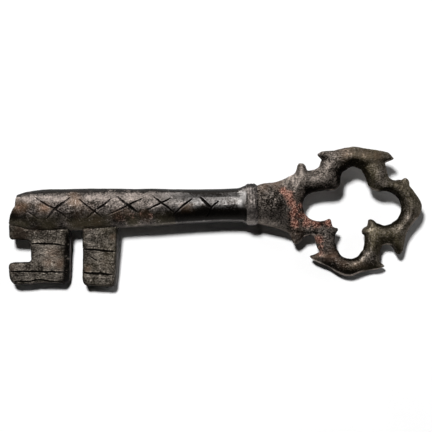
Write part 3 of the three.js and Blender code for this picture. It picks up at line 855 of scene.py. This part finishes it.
class DOORKEY_OT_bow(bpy.types.Operator):
    """Make the openwork bow with its neck"""
    bl_idname = "doorkey.bow"
    bl_label = "Bow"

    def execute(self, context):
        settings = context.scene.door_key_bow
        material = bronze(
            "bow_bronze", settings.metal, settings.metal, settings.patina, settings.brown,
            settings.crust, settings.olive, grazing=0.4, share=0.265, contrast=1.8, patchy=1.0, streak=0.0,
            grain_mm=0.42, grain_depth_mm=0.26)
        piece = even_skin("bow", "bow_worked", context.scene.door_key_barrel.fineness, seat_neck)
        soften(piece.data, BOW_SOFTENING)
        points = read_points(piece.data)
        normals = read_normals(piece.data)
        x, y, z = points.T
        crusted = near_spots(points, CRUST_SPOTS)
        bright = near_spots(points, BOW_BRIGHT)
        grain = rough(points, ((5.0, 2.0), (1.8, 1.2), (0.8, 0.9), (0.5, 0.7)), 61)
        pits = pit_depth(points, 160, 0.2, 0.5, 63)
        lumps = crusted * (0.5 + lattice_noise(points, 1.1, 65))
        depth = 0.04 + settings.skin_depth / MM * grain + 0.09 * pits - 0.10 * lumps
        wall = shaded_inner_wall(points, normals)
        rim_light = rim_light_share(normals) * (1 - wall) * (1 - 0.75 * falling(x, 24, 3))
        # Painted shade on the sides that face down the drawing, away from the lamp
        away = falling(normals[:, 1], -0.35, 0.4) * rising(x, 21, 4) * (1 - rim_light)
        # Painted glints on the neck and the upper left bars
        glints = near_spots(points, BOW_GLINTS) * clipped(lattice_noise(points, 0.6, 73) * 2.5 - 0.7)
        # The neck's lower half is painted lighter
        neck_lower_light = (y < 0) * falling(x, 20, 2)
        neck_uneven = falling(x, 20, 3) * np.maximum(lattice_noise(points, 1.3, 77), -0.3)
        # The darkening holds the patina of pits, painted shade and dark patches; the lightening holds bright
        # patches, painted rim light, painted highlights on crests and painted glints
        masks = {
            "hollow_and_shade": (
                0.6 * pits + 0.8 * away + 0.8 * wall * (1 - 0.8 * crusted)
                + 0.5 * near_spots(points, BOW_DARK)),
            "wear_and_highlight": (
                0.5 * bright + 0.1 * lattice_noise(points, 3.0, 67) + 1.2 * rim_light
                + 0.35 * crest_highlights(points, BOW_CRESTS) + 1.1 * glints
                + 0.12 * neck_lower_light + 0.3 * neck_uneven),
            "polished": 0.4 * bright,
            "browned": near_spots(points, BOW_BROWN) + 0.3 * crusted,
            "crusted": (
                crusted * (0.95 + 0.45 * lattice_noise(points, 1.5, 75)) * (1 - 0.3 * falling(y, -12.0, 2))),
            "greened": rising(x, 34, 10) * clipped(0.6 + 0.6 * lattice_noise(points, 4.0, 71)),
            "painted_highlight": 0.4 * rim_light,
        }
        finish_piece(piece, "bow", depth, masks, material)
        return {"FINISHED"}


class DOORKEY_OT_stage(bpy.types.Operator):
    """Make the floor, the room, the lamps and the camera"""
    bl_idname = "doorkey.stage"
    bl_label = "Stage"

    def execute(self, context):
        settings = context.scene.door_key_stage
        context.scene.view_settings.view_transform = "Standard"
        make_floor(context, settings.floor_colour)
        make_room(context)
        add_near_lamp(context, "main lamp", *NEAR_LAMP)
        for lamp in FAR_LAMPS:
            add_far_lamp(context, *lamp)
        add_camera(context, settings)
        return {"FINISHED"}


def make_floor(context, colour):
    mesh = bpy.data.meshes.new("floor")
    corners = [(x * FLOOR_REACH, y * FLOOR_REACH, 0) for x, y in ((-1, -1), (1, -1), (1, 1), (-1, 1))]
    mesh.from_pydata(corners, [], [(0, 1, 2, 3)])
    floor = bpy.data.objects.new("floor", mesh)
    context.collection.objects.link(floor)
    material = bpy.data.materials.new("floor_paper")
    start = start_tree(material)
    surface = start.node(
        "ShaderNodeBsdfPrincipled", {}, {"Base Color": colour, "Roughness": 0.9, "Specular IOR Level": 0.1})
    start.node("ShaderNodeOutputMaterial", {}, {"Surface": surface})
    mesh.materials.append(material)


def make_room(context):
    """Dark room with a low white band round the horizon, seen by the camera and in gloss only."""
    world = bpy.data.worlds.new("room")
    start = start_tree(world)
    seen = start.node("ShaderNodeLightPath", output="Is Camera Ray")
    seen = seen + start.node("ShaderNodeLightPath", output="Is Glossy Ray")
    seen = (seen + start.node("ShaderNodeLightPath", output="Is Transmission Ray")).clamped()
    place = start.node("ShaderNodeTexCoord", output="Generated")
    height = start.node("ShaderNodeSeparateXYZ", {}, {"Vector": place}, output=2)
    band = 1.0 - height.between(*BAND_FADE)
    strength = seen * band * (1.0 - ROOM_GLOW) + ROOM_GLOW
    light = start.node("ShaderNodeBackground", {}, {"Color": (1.0, 1.0, 1.0), "Strength": strength})
    start.node("ShaderNodeOutputWorld", {}, {"Surface": light})
    context.scene.world = world


def add_near_lamp(context, name, place, radius, level):
    """Round lamp near the key, without falloff, at the level at which it alone lights a white floor."""
    lamp_data = bpy.data.lights.new(name, "POINT")
    lamp_data.shadow_soft_size = radius
    lamp_data.energy = level * 4 * math.pi ** 2
    start = start_tree(lamp_data)
    steady = start.node("ShaderNodeLightFalloff", {}, {"Strength": 1.0}, output="Constant")
    glow = start.node("ShaderNodeEmission", {}, {"Strength": steady})
    start.node("ShaderNodeOutputLight", {}, {"Surface": glow})
    lamp = bpy.data.objects.new(name, lamp_data)
    lamp.location = place
    context.collection.objects.link(lamp)


def add_far_lamp(context, name, toward, spread, level):
    """Lamp far off in a direction and as wide as an angle, its level as for the near lamp."""
    lamp_data = bpy.data.lights.new(name, "SUN")
    lamp_data.angle = spread
    direction = Vector(toward).normalized()
    lamp_data.energy = level * math.pi / direction.z
    lamp = bpy.data.objects.new(name, lamp_data)
    lamp.location = direction
    lamp.rotation_euler = (-direction).to_track_quat("-Z", "Y").to_euler()
    context.collection.objects.link(lamp)


def add_camera(context, settings):
    """Camera square to the flat of the key, over the middle of the picture."""
    camera_data = bpy.data.cameras.new("camera")
    camera_data.lens = settings.lens
    camera_data.sensor_width = 36.0
    camera_data.clip_start = 0.01
    camera_data.clip_end = 50.0
    camera = bpy.data.objects.new("camera", camera_data)
    context.collection.objects.link(camera)
    pixel = settings.view_width / MM / PICTURE_WIDTH
    right, down = ((PICTURE_WIDTH / 2 - place) * pixel for place in ORIGIN_PIXEL)
    turn = settings.tilt
    drawn_x = right * math.cos(turn) - down * math.sin(turn)
    drawn_y = -right * math.sin(turn) - down * math.cos(turn)
    distance = settings.view_width / MM * settings.lens / camera_data.sensor_width
    camera.location = Vector(framed(np.array([[drawn_x, drawn_y, distance]]))[0]) * MM
    camera.rotation_euler = (Matrix.Rotation(LYING_ROLL, 3, "X") @ Matrix.Rotation(-turn, 3, "Z")).to_euler()
    context.scene.camera = camera


class DOORKEY_PT_panel(bpy.types.Panel):
    """Sizes, colours and makers of the door key"""
    bl_idname = "DOORKEY_PT_panel"
    bl_label = "Door Key"
    bl_space_type = "VIEW_3D"
    bl_region_type = "UI"
    bl_category = "Door Key"

    def draw(self, context):
        scene = context.scene
        for label, group, makers in (
            ("Barrel", scene.door_key_barrel, (DOORKEY_OT_barrel, DOORKEY_OT_collar)),
            ("Bits", scene.door_key_bits, (DOORKEY_OT_bits,)),
            ("Bow", scene.door_key_bow, (DOORKEY_OT_bow,)),
            ("Stage", scene.door_key_stage, (DOORKEY_OT_stage,)),
        ):
            box = self.layout.box()
            box.label(text=label)
            for name in group.__annotations__:
                box.prop(group, name)
            for maker in makers:
                box.operator(maker.bl_idname)


GROUPS = {
    "door_key_barrel": BarrelSettings,
    "door_key_bits": BitSettings,
    "door_key_bow": BowSettings,
    "door_key_stage": StageSettings,
}
CLASSES = (
    *GROUPS.values(), DOORKEY_OT_barrel, DOORKEY_OT_collar, DOORKEY_OT_bits, DOORKEY_OT_bow,
    DOORKEY_OT_stage, DOORKEY_PT_panel)


def register():
    for cls in CLASSES:
        bpy.utils.register_class(cls)
    for name, group in GROUPS.items():
        setattr(bpy.types.Scene, name, PointerProperty(type=group))


def unregister():
    for name in GROUPS:
        delattr(bpy.types.Scene, name)
    for cls in reversed(CLASSES):
        bpy.utils.unregister_class(cls)


def main():
    register()
    bpy.ops.doorkey.stage()
    bpy.ops.doorkey.barrel()
    bpy.ops.doorkey.collar()
    bpy.ops.doorkey.bits()
    bpy.ops.doorkey.bow()


if __name__ == "__main__":
    main()
